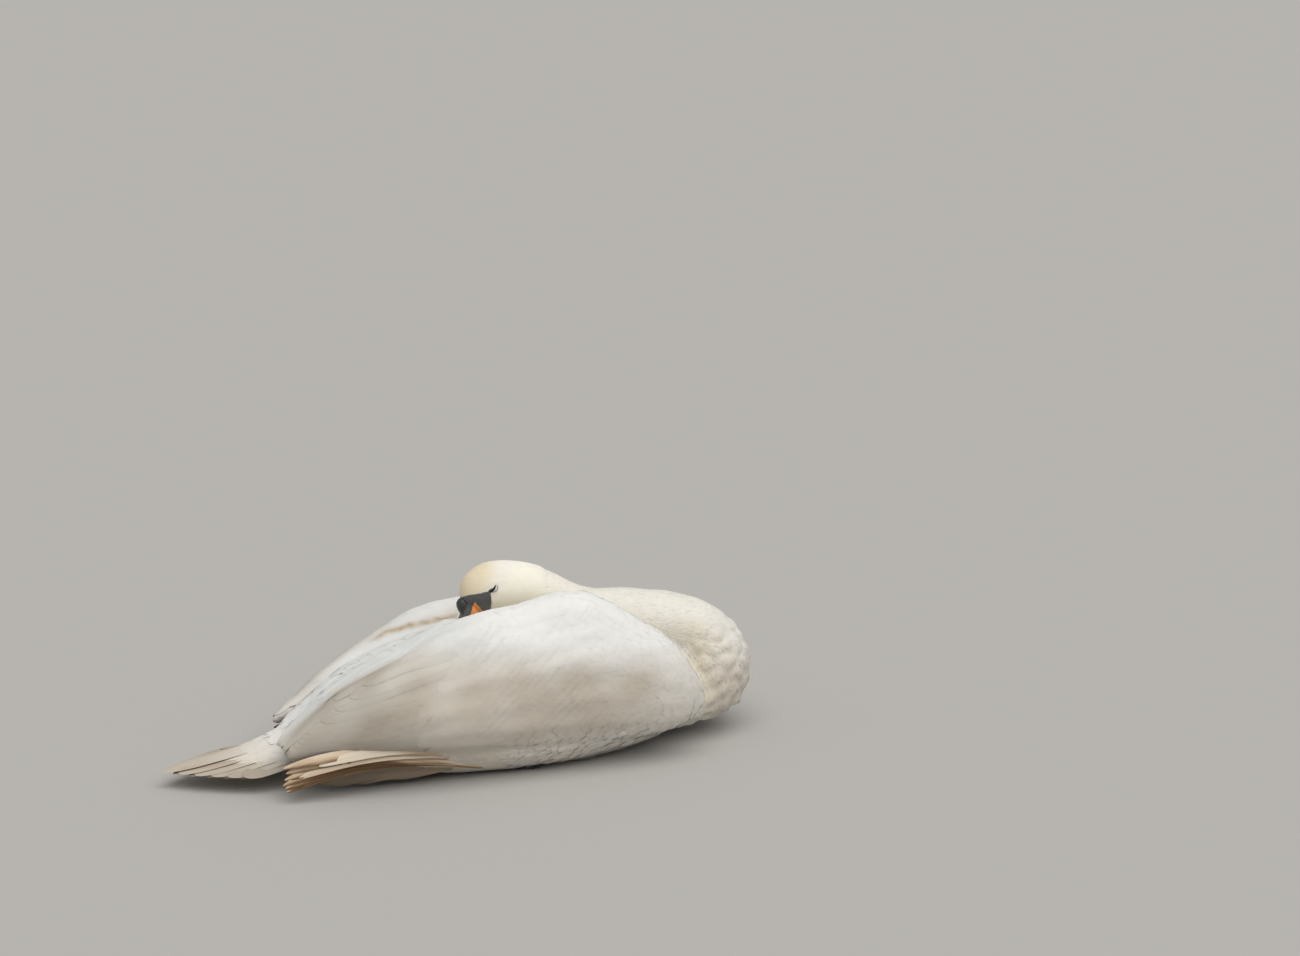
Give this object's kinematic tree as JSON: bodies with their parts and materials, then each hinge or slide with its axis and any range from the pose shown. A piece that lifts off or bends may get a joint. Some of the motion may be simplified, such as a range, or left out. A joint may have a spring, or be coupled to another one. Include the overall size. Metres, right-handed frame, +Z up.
{
  "type": "mute swan",
  "caption": "Life-size mute swan asleep on the ground, belly down, neck folded over the back and bill tucked between the folded wings; a still display model.",
  "frame": {"origin": "on the floor under the middle of the belly, at the centre of the belly's flat", "axes": "+X forwards to the breast, +Y to the bird's left wing, +Z up"},
  "size_m": [0.8761, 0.3392, 0.2767],
  "materials": {
    "plumage_white": "soft matt feathers",
    "plumage_buff": "soft matt short feathers",
    "flight_feathers": "satin vanes, brown-stained",
    "bill_orange": "satin horn with black base and knob",
    "eye_dark": "wet and glossy, mostly lidded",
    "black_skin": "matt scaled skin"
  },
  "bodies": {
    "root": {"trunk": "plumage_white", "wing_right": "plumage_white", "wing_left": "plumage_white", "back_feathers": "plumage_white", "tail": "plumage_white", "neck_lower": "plumage_white", "neck_middle": "plumage_buff", "neck_upper": "plumage_buff", "head": "plumage_buff", "primaries_right": "flight_feathers", "primaries_left": "flight_feathers", "bill_upper": "bill_orange", "bill_lower": "bill_orange", "eye_left": "eye_dark", "eye_right": "eye_dark", "leg_left": "black_skin", "leg_right": "black_skin", "foot_left": "black_skin", "foot_right": "black_skin"}
  },
  "joints": []
}
